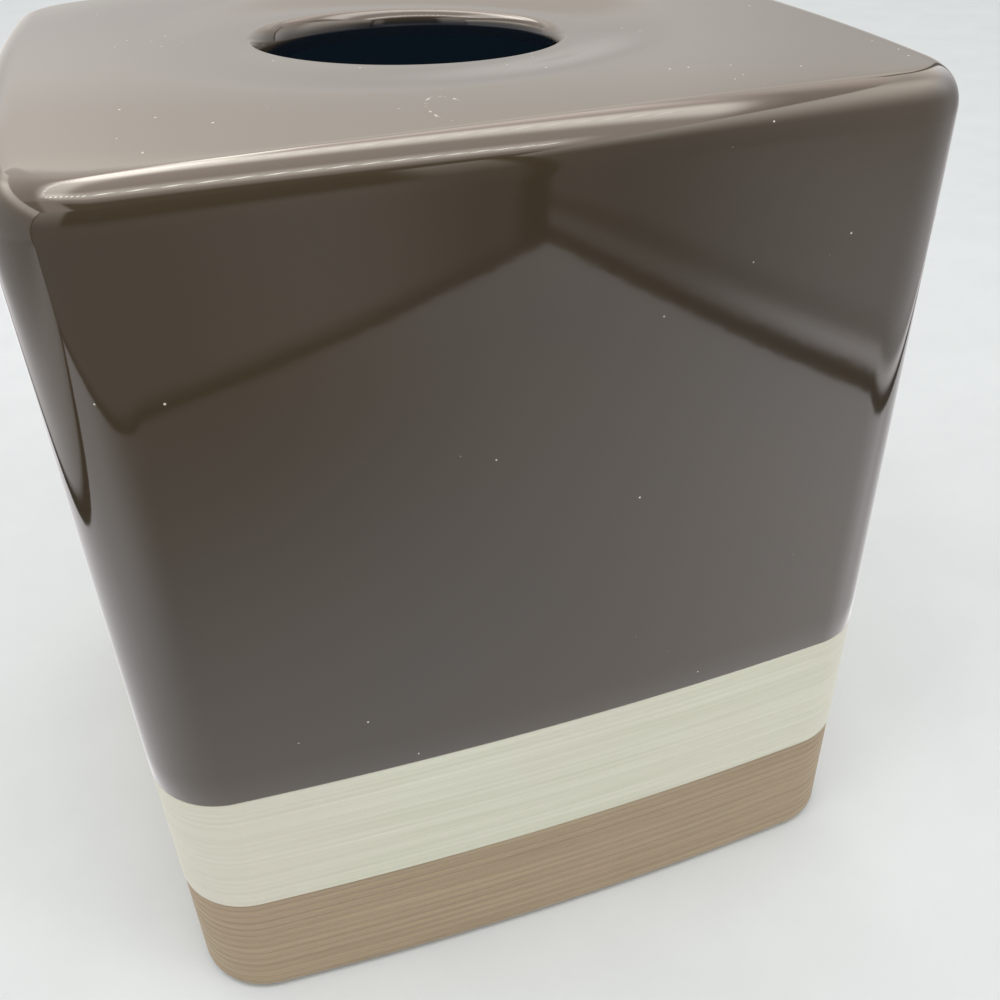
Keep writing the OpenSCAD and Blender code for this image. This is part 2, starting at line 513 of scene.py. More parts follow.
@dataclass
class Plan:
    """The cover seen from above: four bowed sides joined by round corners.

    The quarter from the middle of the front to the middle of the right flank is swept as three
    arcs, and mirrored.
    """

    half_width: float
    half_depth: float
    bow: float = 3.2 * MM
    corner_radius: float = 14.0 * MM
    side_steps: int = 24
    corner_steps: int = 32
    arcs: list[Arc] = field(init=False)

    def __post_init__(self) -> None:
        """Works out the three arcs, anticlockwise from the middle of the front."""
        front_radius = self.side_radius(self.half_width)
        flank_radius = self.side_radius(self.half_depth)
        front = Vector((0, front_radius - self.half_depth, 0))
        flank = Vector((self.half_width - flank_radius, 0, 0))
        front_reach = front_radius - self.corner_radius
        flank_reach = flank_radius - self.corner_radius
        between = flank - front
        along = (front_reach ** 2 - flank_reach ** 2 + between.length ** 2) / 2 / between.length
        aside = math.sqrt(front_reach ** 2 - along ** 2)
        line = between.normalized()
        corner = front + along * line + aside * Vector((-line.y, line.x, 0))
        front_turn = math.atan2(corner.x, front.y - corner.y)
        flank_turn = math.atan2(-corner.y, corner.x - flank.x)
        self.arcs = [
            Arc(front, front_turn, self.side_steps),
            Arc(corner, math.pi / 2 - front_turn - flank_turn, self.corner_steps),
            Arc(flank, flank_turn, self.side_steps),
        ]

    def side_radius(self, half_length: float) -> float:
        """Radius of a side's arc, which drops by the bow over half the side's length."""
        return (half_length ** 2 + self.bow ** 2) / (2 * self.bow)

    def sweep(self, mesh: bmesh.types.BMesh, outline: Outline) -> None:
        """Sweeps an upright outline right round the plan.

        Args:
            mesh: The mesh that takes the surface.
            outline: Points of inset from the outer face and of height.
        """
        points = [mesh.verts.new((0, inset - self.half_depth, height)) for inset, height in outline]
        swept = points + [mesh.edges.new(pair) for pair in zip(points, points[1:])]
        for arc in self.arcs:
            spun = bmesh.ops.spin(
                mesh, geom=swept, cent=arc.centre, axis=(0, 0, 1), dvec=(0, 0, 0),
                angle=arc.turn, steps=arc.steps, use_merge=False, use_duplicate=False,
            )
            swept = spun["geom_last"]
        for item in swept:
            if isinstance(item, bmesh.types.BMVert):
                item.co.y = 0.0
        for axis in ("X", "Y"):
            everything = list(mesh.verts) + list(mesh.edges) + list(mesh.faces)
            bmesh.ops.mirror(
                mesh, geom=everything, matrix=Matrix.Identity(4), axis=axis, merge_dist=MERGE / 2
            )
        bmesh.ops.remove_doubles(mesh, verts=mesh.verts, dist=MERGE)
        for vertex in mesh.verts:
            vertex.co.x = min(max(vertex.co.x, -self.half_width), self.half_width)


def quarter(steps: int, first: int = 0) -> Iterator[tuple[float, float]]:
    """Equal steps of a quarter turn.

    Args:
        steps: Number of steps in the quarter.
        first: The step to begin with.

    Yields:
        Sine and cosine of each step's angle.
    """
    for step in range(first, steps + 1):
        turn = math.pi / 2 * step / steps
        yield math.sin(turn), math.cos(turn)


def round_over(radius_out: float, radius_up: float, steps: int) -> Iterator[tuple[float, float]]:
    """Points of a roll from upright to level, whose curvature grows and fades softly.

    Args:
        radius_out: Level reach of the roll.
        radius_up: Upright reach of the roll.
        steps: Number of steps.

    Yields:
        Level and upright distance covered from the roll's lower end.
    """
    samples_a_step = 24
    soft_share = 0.38
    samples = samples_a_step * steps
    level = [0.0]
    upright = [0.0]
    for sample in range(samples):
        share = (sample + 0.5) / samples
        turn = math.pi / 2 * ((1 - soft_share) * share + soft_share * ease(share))
        level.append(level[-1] + math.sin(turn))
        upright.append(upright[-1] + math.cos(turn))
    for at in range(0, samples + 1, samples_a_step):
        yield radius_out * level[at] / level[-1], radius_up * upright[at] / upright[-1]


def open_loop(mesh: bmesh.types.BMesh, near_height: float) -> Loop:
    """Finds the open border of a mesh that lies nearest a height.

    Args:
        mesh: The mesh.
        near_height: The height.

    Returns:
        The border's edges.
    """
    slack = 0.5 * MM
    border = [edge for edge in mesh.edges if edge.is_boundary]
    gaps = [abs(edge.verts[0].co.z - near_height) for edge in border]
    farthest = min(gaps) + slack
    return [edge for edge, gap in zip(border, gaps) if gap < farthest]


def add_ring(mesh: bmesh.types.BMesh, loop: Loop, move: Callable[[Vector], Vector]) -> Loop:
    """Extrudes an open loop into one more ring of faces.

    Args:
        mesh: The mesh that holds the loop.
        loop: Edges of the open border.
        move: Gives a new vertex's place from its old one.

    Returns:
        The new open loop.
    """
    made = bmesh.ops.extrude_edge_only(mesh, edges=loop)["geom"]
    fresh = {item for item in made if isinstance(item, bmesh.types.BMVert)}
    for vertex in fresh:
        vertex.co = move(vertex.co)
    edges = [item for item in made if isinstance(item, bmesh.types.BMEdge)]
    return [edge for edge in edges if edge.verts[0] in fresh and edge.verts[1] in fresh]


def close_in(mesh: bmesh.types.BMesh, loop: Loop, radius: float, rows: int) -> Loop:
    """Fills from an open loop inwards to a circle about the axis, in even rings.

    Args:
        mesh: The mesh that holds the loop.
        loop: Edges of the open border.
        radius: Radius of the circle.
        rows: Number of rings.

    Returns:
        The open loop on the circle.
    """
    for row in range(rows):
        keep = (rows - row - 1) / (rows - row)
        loop = add_ring(mesh, loop, lambda place, keep=keep: drawn_in(place, radius, keep))
    return loop


def drawn_in(place: Vector, radius: float, keep: float) -> Vector:
    """Moves a place level towards a circle about the axis.

    Args:
        place: The place.
        radius: Radius of the circle.
        keep: Share of the way to the circle that is kept.

    Returns:
        The moved place.
    """
    level = Vector((place.x, place.y, 0))
    reach = radius + (level.length - radius) * keep
    return level.normalized() * reach + Vector((0, 0, place.z))


def on_circle(place: Vector, radius: float, height: float) -> Vector:
    """Puts a place on a level circle about the axis."""
    level = Vector((place.x, place.y, 0))
    return level.normalized() * radius + Vector((0, 0, height))


def thicken(mesh: bmesh.types.BMesh, thickness: float, inwards: bool = True) -> None:
    """Gives an open surface its thickness.

    Args:
        mesh: The mesh that holds the surface and nothing else.
        thickness: Thickness of the wall.
        inwards: Whether the modelled surface is the outer face of the wall, and not the inner one.
    """
    bmesh.ops.recalc_face_normals(mesh, faces=mesh.faces)
    if not inwards:
        bmesh.ops.reverse_faces(mesh, faces=mesh.faces)
    mesh.normal_update()
    bmesh.ops.solidify(mesh, geom=list(mesh.faces), thickness=thickness)


@dataclass(frozen=True)
class TopRows:
    """Numbers of rings over the top, round the lip and down the neck."""

    top: int = 30
    lip: int = 20
    neck: int = 6


@dataclass
class Crown:
    """The pillowed top: nearly level in the middle, sinking to the corners and into the hole."""

    flat_top: float
    high: float
    lip_low: float
    hole_radius: float = 25.5 * MM
    lip_width: float = 2.6 * MM
    # The funnel round the lip: how far it sinks and reaches, and how it leans to the back right
    lip_drop: float = 1.65 * MM
    funnel_width: float = 20 * MM
    lip_lean: Vector = field(default_factory=lambda: Vector((0.037, 0.016, 0)))
    corner_reach: float = 90 * MM
    corner_drop: float = 1.6 * MM
    roll_height: float = 6 * MM
    blend_height: float = 20 * MM

    @property
    def lip_radius(self) -> float:
        """Radius at which the lip begins to roll into the hole."""
        return self.hole_radius + self.lip_width

    def sunk(self, place: Vector) -> float:
        """How deep the lip sinks on the side of a place."""
        side = Vector((place.x, place.y, 0)).normalized()
        return self.lip_drop + self.lip_lean.dot(side) * self.lip_radius

    def dome(self, place: Vector) -> float:
        """Works out how high the top is.

        Args:
            place: A place over or under the top.

        Returns:
            Height of the top there.
        """
        out = math.hypot(place.x, place.y)
        crest = (self.lip_radius + self.funnel_width) / self.corner_reach
        fall = self.corner_drop * max((out / self.corner_reach) ** 4 - crest ** 4, 0)
        sink = self.sunk(place) * (1 - ease((out - self.lip_radius) / self.funnel_width))
        return self.high - fall - sink

    def lift(self, place: Vector) -> float:
        """How far a place near the flat top is moved up or down by the dome."""
        below = self.flat_top - self.roll_height - place.z
        return ease(1 - below / self.blend_height) * (self.dome(place) - self.flat_top)

    def on_lip(self, place: Vector, radius: float, share: float, depth: float) -> Vector:
        """Puts a place on the lip's roll.

        Args:
            place: A place on the side of the lip that is meant.
            radius: Distance from the axis.
            share: Share of the roll's height, from its lower end.
            depth: How far the surface lies under the glazed face.

        Returns:
            The place on the roll.
        """
        top = self.high - self.sunk(place) - depth
        return on_circle(place, radius, self.lip_low + (top - self.lip_low) * share)

    def close(self, mesh: bmesh.types.BMesh, depth: float, neck_low: float, rows: TopRows) -> Loop:
        """Closes a swept wall over the top and down into the hole.

        Args:
            mesh: The mesh, with the swept wall's open loop at the flat top.
            depth: How far the surface lies under the glazed face.
            neck_low: Height of the neck's lower end.
            rows: Numbers of rings.

        Returns:
            The open loop at the neck's lower end.
        """
        loop = open_loop(mesh, self.flat_top - depth)
        loop = close_in(mesh, loop, self.lip_radius, rows.top)
        for vertex in mesh.verts:
            vertex.co.z += self.lift(vertex.co)
        neck_radius = self.hole_radius + depth
        roll = list(round_over(self.lip_width - depth, 1.0, rows.lip))
        for inset, share in reversed(roll[:-1]):
            to = (neck_radius + inset, share, depth)
            loop = add_ring(mesh, loop, lambda place, to=to: self.on_lip(place, *to))
        for row in range(1, rows.neck + 1):
            to = (neck_radius, self.lip_low + (neck_low - self.lip_low) * row / rows.neck)
            loop = add_ring(mesh, loop, lambda place, to=to: on_circle(place, *to))
        return loop


class Piece:
    """One visible piece of the cover, which stands for a node of the frame."""

    node: str = ""
    slot: str = ""

    def build(self, mesh: bmesh.types.BMesh) -> None:
        """Models the piece in an empty mesh."""
        raise NotImplementedError

    def finish(self) -> Finish:
        """The piece's finish."""
        raise NotImplementedError

    def make(self) -> bpy.types.Object:
        """Builds, dresses and places the piece.

        Returns:
            The finished object.
        """
        sharp_from = math.radians(40)
        mesh = bmesh.new()
        self.build(mesh)
        data = bpy.data.meshes.new(self.node + "_finished")
        mesh.to_mesh(data)
        mesh.free()
        data.shade_smooth()
        data.set_sharp_from_angle(angle=sharp_from)
        data.materials.append(self.finish().material())
        piece = bpy.data.objects.new(self.node + "_finished", data)
        bpy.context.scene.collection.objects.link(piece)
        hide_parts(self.node)
        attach(piece, ROOT)
        return piece


@dataclass
class GlossCoat(Piece):
    """The brown gloss coat over the upper walls, the shoulder, the top, the lip and the neck."""

    plan: Plan
    crown: Crown
    border: float
    neck_low: float
    thickness: float
    shoulder_radius: float
    # The rounded lower edge, where the coat ends on the cream band
    edge_height: float = 0.25 * MM
    edge_inset: float = 0.14 * MM
    edge_turn_inset: float = 0.04 * MM
    edge_turn_share: float = 0.4
    wall_rows: int = 16
    roll_rows: int = 22
    node: str = "brown_glaze"
    slot: str = "brown_gloss_glaze"

    def finish(self) -> Finish:
        """The gloss glaze."""
        return BrownGlaze()

    def wall_outline(self) -> Outline:
        """Draws the wall from the border up and over the shoulder.

        Returns:
            Points of inset and height.
        """
        edge_turn = self.border + self.edge_turn_share * self.edge_height
        edge = [(self.edge_inset, self.border), (self.edge_turn_inset, edge_turn)]
        wall_low = self.border + self.edge_height
        wall_high = self.crown.flat_top - self.shoulder_radius
        step = (wall_high - wall_low) / self.wall_rows
        wall = [(0.0, wall_low + step * row) for row in range(self.wall_rows)]
        radius = self.shoulder_radius
        roll = round_over(radius, radius, self.roll_rows)
        return edge + wall + [(inset, wall_high + height) for inset, height in roll]

    def build(self, mesh: bmesh.types.BMesh) -> None:
        """Sweeps the walls, closes the top down into the hole, and adds the thickness.

        Args:
            mesh: The empty mesh that takes the coat.
        """
        self.plan.sweep(mesh, self.wall_outline())
        self.crown.close(mesh, 0.0, self.neck_low, TopRows())
        thicken(mesh, self.thickness)


@dataclass
class MattBand(Piece):
    """A matt band round the base: a coat with a flat back, whose face is worked in level lines."""

    plan: Plan
    low: float
    high: float
    thickness: float
    # How far the hand-worked face strays inwards, and how often a metre, level and upright
    stray: float = 0.02 * MM
    stray_level: float = 45.0
    stray_upright: float = 900.0

    def face(self) -> Outline:
        """Inset and height of the worked face, from the lower edge to the upper."""
        raise NotImplementedError

    def strayed(self, place: Vector) -> Vector:
        """Moves a place inwards by the slow unevenness of handwork.

        Args:
            place: A place on the band.

        Returns:
            The moved place.
        """
        level = Vector((place.x, place.y, 0))
        here = level * self.stray_level + Vector((0, 0, place.z * self.stray_upright))
        return place - level.normalized() * self.stray * (1 + noise.noise(here))

    def build(self, mesh: bmesh.types.BMesh) -> None:
        """Sweeps the face and the flat back as one closed ring, and makes it stray.

        Args:
            mesh: The empty mesh that takes the band.
        """
        face = self.face()
        back = [(self.thickness, self.high), (self.thickness, self.low), face[0]]
        self.plan.sweep(mesh, face + back)
        for vertex in mesh.verts:
            vertex.co = self.strayed(vertex.co)
        bmesh.ops.recalc_face_normals(mesh, faces=mesh.faces)


@dataclass
class CreamBand(MattBand):
    """The cream band, combed with fine uneven lines."""

    pitch: float = 1.35 * MM
    depth: float = 0.1 * MM
    least_depth_share: float = 0.1
    crest_inset: float = 0.02 * MM
    rows_per_line: int = 5
    # The softly rounded edges: inset of each border, and the size of its round
    low_inset: float = 0.25 * MM
    low_round: float = 0.08 * MM
    high_inset: float = 0.16 * MM
    high_round: float = 0.05 * MM
    node: str = "cream_band"
    slot: str = "cream_matt_slip"

    def finish(self) -> Finish:
        """The cream slip."""
        return CombedSlip("cream_matt_slip")

    def groove(self, line: float) -> float:
        """Works out how deep the comb has cut.

        Args:
            line: Number of combed lines up from the lower edge.

        Returns:
            Depth of the cut there.
        """
        drift = 0.35 * noise.noise(Vector((line * 0.9, 3.1, 0.0)))
        wave = 0.5 - 0.5 * math.cos(math.tau * (line + drift))
        strength = 0.45 + 0.55 * noise.noise(Vector((line * 0.5, 7.7, 0.0)))
        return self.depth * wave * max(strength, self.least_depth_share)

    def face(self) -> Outline:
        """Draws shallow combed lines between two softly rounded edges.

        Returns:
            Points of inset and height.
        """
        rows = round((self.high - self.low) / self.pitch) * self.rows_per_line
        points = [(self.low_inset, self.low), (self.low_round, self.low + self.low_round)]
        for row in range(1, rows):
            height = self.low + (self.high - self.low) * row / rows
            points.append((self.crest_inset + self.groove(row / self.rows_per_line), height))
        return points + [(self.high_round, self.high - self.high_round), (self.high_inset, self.high)]


@dataclass
class TanBand(MattBand):
    """The tan band, with fine ribs down to its rounded lower edge."""

    stray: float = 0.03 * MM
    stray_level: float = 40.0
    stray_upright: float = 260.0
    pitch: float = 1.9 * MM
    depth: float = 0.3 * MM
    recess: float = 0.2 * MM
    edge_radius: float = 0.6 * MM
    edge_rows: int = 6
    rows_per_rib: int = 9
    groove_sharpness: int = 6
    node: str = "tan_band"
    slot: str = "tan_matt_slip"

    def finish(self) -> Finish:
        """The tan slip."""
        return CombedSlip(
            name="tan_matt_slip", light=srgb(169, 150, 123), deep=srgb(153, 134, 109),
            warm=srgb(167, 145, 121), roughness=0.66,
        )

    def face(self) -> Outline:
        """Draws a rounded foot edge, then ribs with narrow grooves between them.

        Returns:
            Points of inset and height.
        """
        points = [
            (self.recess + self.edge_radius * (1 - sine), self.low + self.edge_radius * (1 - cosine))
            for sine, cosine in quarter(self.edge_rows)
        ]
        first = self.low + self.edge_radius
        rows = round((self.high - first) / self.pitch) * self.rows_per_rib
        for row in range(1, rows + 1):
            height = first + (self.high - first) * row / rows
            share = abs(math.cos(math.pi * row / self.rows_per_rib)) ** self.groove_sharpness
            points.append((self.recess + self.depth * share, height))
        return points


@dataclass
class Casting(Piece):
    """The fired body under the finishes: it shows at its foot and inside below the inner glaze."""

    plan: Plan
    crown: Crown
    foot: float
    ceiling: float
    border: float
    glaze: float
    band: float
    wall: float
    shoulder_radius: float
    fillet: float = 3.4 * MM
    foot_round: float = 0.7 * MM
    foot_rows: int = 4
    neck_join: float = 0.2 * MM
    top_rows: TopRows = TopRows(top=16, lip=8, neck=2)
    ceiling_rows: int = 8
    rows: int = 10
    node: str = "shell_body"
    slot: str = "fired_clay"

    def finish(self) -> Finish:
        """Bare fired clay."""
        return FiredClay()

    def inside(self) -> Outline:
        """Draws the ceiling's fillet and the inside wall down to the foot, which is wiped round.

        Returns:
            Points of inset and height.
        """
        inner = self.glaze + self.wall
        wall_high = self.ceiling - self.fillet
        wall_low = self.foot + self.foot_round
        points = [
            (inner + self.fillet * (1 - sine), wall_high + self.fillet * cosine)
            for sine, cosine in quarter(self.rows)
        ]
        for row in range(1, self.rows + 1):
            points.append((inner, wall_high + (wall_low - wall_high) * row / self.rows))
        for sine, cosine in quarter(self.foot_rows, first=1):
            inset = inner - self.foot_round * (1 - cosine)
            points.append((inset, self.foot + self.foot_round * (1 - sine)))
        return points

    def outside(self) -> Outline:
        """Draws the outside, behind the bands and the glaze, up to the flat top.

        Returns:
            Points of inset and height.
        """
        low = self.crown.flat_top - self.shoulder_radius
        roll = self.shoulder_radius - self.glaze
        points = [(self.band, self.foot), (self.band, self.border), (self.glaze, self.border)]
        for row in range(1, self.rows):
            points.append((self.glaze, self.border + (low - self.border) * row / self.rows))
        for inset, height in round_over(roll, roll, self.rows):
            points.append((self.glaze + inset, low + height))
        return points

    def build(self, mesh: bmesh.types.BMesh) -> None:
        """Sweeps the wall from the ceiling round the foot to the top, then joins both ends.

        Args:
            mesh: The empty mesh that takes the body.
        """
        self.plan.sweep(mesh, self.inside() + self.outside())
        ceiling_loop = open_loop(mesh, self.ceiling)
        neck_loop = self.crown.close(mesh, self.glaze, self.ceiling + self.neck_join, self.top_rows)
        neck_radius = self.crown.hole_radius + self.glaze
        ceiling_loop = close_in(mesh, ceiling_loop, neck_radius, self.ceiling_rows)
        bmesh.ops.bridge_loops(mesh, edges=neck_loop + ceiling_loop)
        bmesh.ops.recalc_face_normals(mesh, faces=mesh.faces)


@dataclass
class InnerCoat(Piece):
    """The dark glaze on the inside walls and the ceiling, seen through the hole."""

    plan: Plan
    low: float
    ceiling: float
    inset: float
    hole_radius: float
    thickness: float
    fillet: float = 3.0 * MM
    wall_rows: int = 14
    fillet_rows: int = 10
    ceiling_rows: int = 8
    node: str = "inner_glaze"
    slot: str = "inner_glaze"

    def finish(self) -> Finish:
        """The dark inside glaze."""
        return InnerGlaze()

    def build(self, mesh: bmesh.types.BMesh) -> None:
        """Sweeps the walls and their fillet, closes the ceiling to the hole, adds the thickness.

        Args:
            mesh: The empty mesh that takes the coat.
        """
        wall_high = self.ceiling - self.fillet
        step = (wall_high - self.low) / self.wall_rows
        wall = [(self.inset, self.low + step * row) for row in range(self.wall_rows)]
        fillet = [
            (self.inset + self.fillet * (1 - cosine), wall_high + self.fillet * sine)
            for sine, cosine in quarter(self.fillet_rows)
        ]
        self.plan.sweep(mesh, wall + fillet)
        close_in(mesh, open_loop(mesh, self.ceiling), self.hole_radius, self.ceiling_rows)
        thicken(mesh, self.thickness, inwards=False)


@dataclass
class BumperPads(Piece):
    """Four clear bumpers under the corners of the foot, each a low dome with a flat face."""

    centre: Vector
    top: float
    radius: float
    edge: float = 0.45 * MM
    edge_reach: float = 0.36 * MM
    draft: float = 0.12 * MM
    face_share: float = 0.55
    edge_rows: int = 8
    segments: int = 40
    node: str = "foot_pads"
    slot: str = "clear_bumper"

    def finish(self) -> Finish:
        """The clear bumper plastic."""
        return ClearBumper()

    def outline(self) -> list[Vector]:
        """Draws half of a bumper about its own axis, from the bottom up.

        Returns:
            Points in the plane of X and Z.
        """
        points = [Vector((0, 0, 0)), Vector((self.face_share * self.radius, 0, 0))]
        for sine, cosine in quarter(self.edge_rows):
            out = self.radius - self.draft - self.edge_reach * (1 - sine)
            points.append(Vector((out, 0, self.edge * (1 - cosine))))
        return points + [Vector((self.radius, 0, self.top)), Vector((0, 0, self.top))]

    def build(self, mesh: bmesh.types.BMesh) -> None:
        """Spins one bumper at each corner.

        Args:
            mesh: The empty mesh that takes the bumpers.
        """
        for across, along in ((1, 1), (1, -1), (-1, 1), (-1, -1)):
            middle = Vector((across * self.centre.x, along * self.centre.y, 0))
            points = [mesh.verts.new(middle + point) for point in self.outline()]
            edges = [mesh.edges.new(pair) for pair in zip(points, points[1:])]
            bmesh.ops.spin(
                mesh, geom=points + edges, cent=middle, axis=(0, 0, 1), dvec=(0, 0, 0),
                angle=math.tau, steps=self.segments, use_merge=True, use_duplicate=False,
            )
        bmesh.ops.remove_doubles(mesh, verts=mesh.verts, dist=MERGE)
        bmesh.ops.recalc_face_normals(mesh, faces=mesh.faces)


@dataclass
class Cover:
    """The whole cover: the sizes that its pieces share, and the pieces in order."""

    flat_top: float = 156.2 * MM
    wall: float = 5.2 * MM
    glaze: float = 0.5 * MM
    band: float = 0.9 * MM
    inner_glaze: float = 0.4 * MM
    shoulder_radius: float = 6.0 * MM
    neck_height: float = 1.0 * MM
    pad_radius: float = 2.3 * MM

    def pieces(self) -> list[Piece]:
        """Sizes every piece from its node's box in the frame.

        Returns:
            The pieces, from the body outwards.
        """
        half = CAD_BOX[1]
        plan = Plan(half.x, half.y)
        glaze_low, glaze_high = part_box("brown_glaze")
        cream_low, cream_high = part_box("cream_band")
        tan_low, tan_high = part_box("tan_band")
        inner_low, inner_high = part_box("inner_glaze")
        pads_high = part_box("foot_pads")[1]
        neck_low = inner_high.z - self.inner_glaze
        crown = Crown(self.flat_top, glaze_high.z, neck_low + self.neck_height)
        pad_centre = pads_high - Vector((self.pad_radius, self.pad_radius, pads_high.z))
        return [
            Casting(
                plan, crown, tan_low.z, inner_high.z, glaze_low.z, self.glaze, self.band, self.wall,
                self.shoulder_radius,
            ),
            GlossCoat(plan, crown, glaze_low.z, neck_low, self.glaze, self.shoulder_radius),
            CreamBand(plan, cream_low.z, cream_high.z, self.band),
            TanBand(plan, tan_low.z, tan_high.z, self.band),
            InnerCoat(
                plan, inner_low.z, neck_low, half.x - inner_high.x + self.inner_glaze,
                crown.hole_radius + self.glaze, self.inner_glaze,
            ),
            BumperPads(pad_centre, pads_high.z, self.pad_radius),
        ]


@dataclass(frozen=True)
class Step:
    """A soft step in the level of a glow: what it gains past a place, and over what blur."""

    gain: float
    at: float
    blur: float

    def of(self, way: Value) -> Value:
        """The gain on a way."""
        return self.gain * way.above(self.at, self.blur)


@dataclass(frozen=True)
class Band:
    """A soft band in the level of a glow: what it gains between two places."""

    gain: float
    low: float
    high: float
    blur: float

    def of(self, way: Value) -> Value:
        """The gain on a way."""
        return self.gain * way.between(self.low, self.high, self.blur)


COOL: Colour = (1.0, 0.97, 0.98, 1.0)
SAND: Colour = (1.0, 0.955, 0.91, 1.0)
WARM: Colour = (1.0, 0.92, 0.83, 1.0)
BLUSH: Colour = (1.0, 0.86, 0.79, 1.0)
RIGHT = Vector((1, 0, 0))
FRONT = Vector((0, -1, 0))


def glow_only(shader: Shader, level: Value, tint: Union[Value, Tint]) -> None:
    """Makes a surface glow at a level with a tint, and reflect nothing."""
    shader.set(
        Base_Color=(0.0, 0.0, 0.0, 1.0), Roughness=1.0, Specular_IOR_Level=0.0,
        Emission_Color=shader.tinted(level, tint), Emission_Strength=1.0,
    )


@dataclass(frozen=True)
class TentWall(Finish):
    """Wall of the reflected tent: its glow depends on the way along it and on the height."""

    name: str
    start: Vector
    along: Vector
    low_tint: Colour = COOL
    warmer: Step = Step(1.0, at=0.26, blur=0.08)

    def level(self, run: Value, height: Value) -> Value:
        """Level of the glow at a way along the wall and a height."""
        raise NotImplementedError

    def paint(self, shader: Shader) -> None:
        """A glowing surface, warmer higher up, without any gloss or colour of its own.

        Args:
            shader: The wall's shader.
        """
        height = shader.height()
        level = self.level(shader.way(self.start, self.along), height)
        glow_only(shader, level, shader.mix(self.warmer.of(height), self.low_tint, WARM))


@dataclass(frozen=True)
class FrontWall(TentWall):
    """The front wall is dim, brighter under the ceiling, and open for the camera in its middle."""

    least: float = 0.02
    base: float = 0.22
    right_part: Step = Step(0.32, at=0.1, blur=0.11)
    left_part: Step = Step(-0.15, at=0.21, blur=0.08)
    upper: Step = Step(0.85, at=0.27, blur=0.15)
    under_ceiling: Step = Step(0.4, at=0.35, blur=0.06)
    opening: Band = Band(0.97, low=0.095, high=0.395, blur=0.04)
    opening_foot: Step = Step(1.0, at=0.215, blur=0.08)
    foot_seam: Step = Step(1.0, at=0.007, blur=0.011)
    corner_seam: Step = Step(1.0, at=0.026, blur=0.018)

    def level(self, run: Value, height: Value) -> Value:
        """Sums the glow and cuts the seams and the opening out of it.

        Args:
            run: Way along the wall from its right end.
            height: Height above the table.

        Returns:
            Level of the glow.
        """
        plain = self.base + self.right_part.of(run) + self.left_part.of(run)
        high = self.upper.of(height) + self.under_ceiling.of(height)
        seams = self.foot_seam.of(height) * self.corner_seam.of(run)
        opening = self.opening.of(run) * self.opening_foot.of(height)
        return self.least + (plain + high) * seams * (1 - opening)


@dataclass(frozen=True)
class RightWall(TentWall):
    """The right wall brightens upwards, has a pale fold over its seam, and ends in a dark corner."""

    least: float = 0.04
    base: float = 0.3
    far_part: Step = Step(0.62, at=0.145, blur=0.17)
    far_part_fades: Step = Step(-0.45, at=0.085, blur=0.05)
    far_end: Step = Step(-0.2, at=0.4, blur=0.1)
    fold: Band = Band(1.0, low=0.011, high=0.019, blur=0.009)
    fold_base: float = 0.12
    fold_far: Step = Step(0.85, at=0.16, blur=0.13)
    dip: Band = Band(-0.16, low=0.02, high=0.031, blur=0.01)
    upper: Step = Step(3.2, at=0.395, blur=0.2)
    upper_slope: float = 0.35
    upper_fades: Step = Step(-0.55, at=0.44, blur=0.12)
    foot_seam: Step = Step(1.0, at=0.009, blur=0.005)
    corner: Step = Step(-0.8, at=0.636, blur=0.01)

    def level(self, run: Value, height: Value) -> Value:
        """Sums the glow and cuts the seams out of it.

        Args:
            run: Way along the wall from its front end.
            height: Height above the table.

        Returns:
            Level of the glow.
        """
        plain = self.base + self.far_part.of(run) * (1 + self.far_part_fades.of(height))
        fold = (self.fold_base + self.fold_far.of(run)) * self.fold.of(height)
        high = self.upper.of(height + self.upper_slope * run) * (1 + self.upper_fades.of(run))
        glow = plain + self.far_end.of(run) + fold + self.dip.of(height) + high
        return self.least + glow * self.foot_seam.of(height) * (1 + self.corner.of(run))


@dataclass(frozen=True)
class BackWall(TentWall):
    """The back wall brightens upwards, and is dim at its upper left and in its right corner."""

    low_tint: Colour = SAND
    base: float = 0.84
    rises: tuple[Step, ...] = (
        Step(0.4, at=0.225, blur=0.07), Step(0.4, at=0.29, blur=0.07), Step(0.4, at=0.322, blur=0.03)
    )
    left_part: Step = Step(0.08, at=0.47, blur=0.1)
    dim_top: Step = Step(-0.7, at=0.334, blur=0.012)
    dim_left: Step = Step(1.0, at=0.47, blur=0.08)
    corner: float = 0.1
    out_of_corner: tuple[Step, ...] = (
        Step(0.75, at=0.01, blur=0.01), Step(0.15, at=0.13, blur=0.1)
    )
    foot_seam: Step = Step(1.0, at=0.006, blur=0.006)

    def level(self, run: Value, height: Value) -> Value:
        """Sums the glow and cuts the seam and the corner out of it.

        Args:
            run: Way along the wall from its right end.
            height: Height above the table.

        Returns:
            Level of the glow.
        """
        plain = sum((rise.of(height) for rise in self.rises), self.base)
        glow = plain + self.left_part.of(run) + self.dim_top.of(height) * self.dim_left.of(run)
        corner = sum((step.of(run) for step in self.out_of_corner), self.corner)
        return glow * self.foot_seam.of(height) * corner


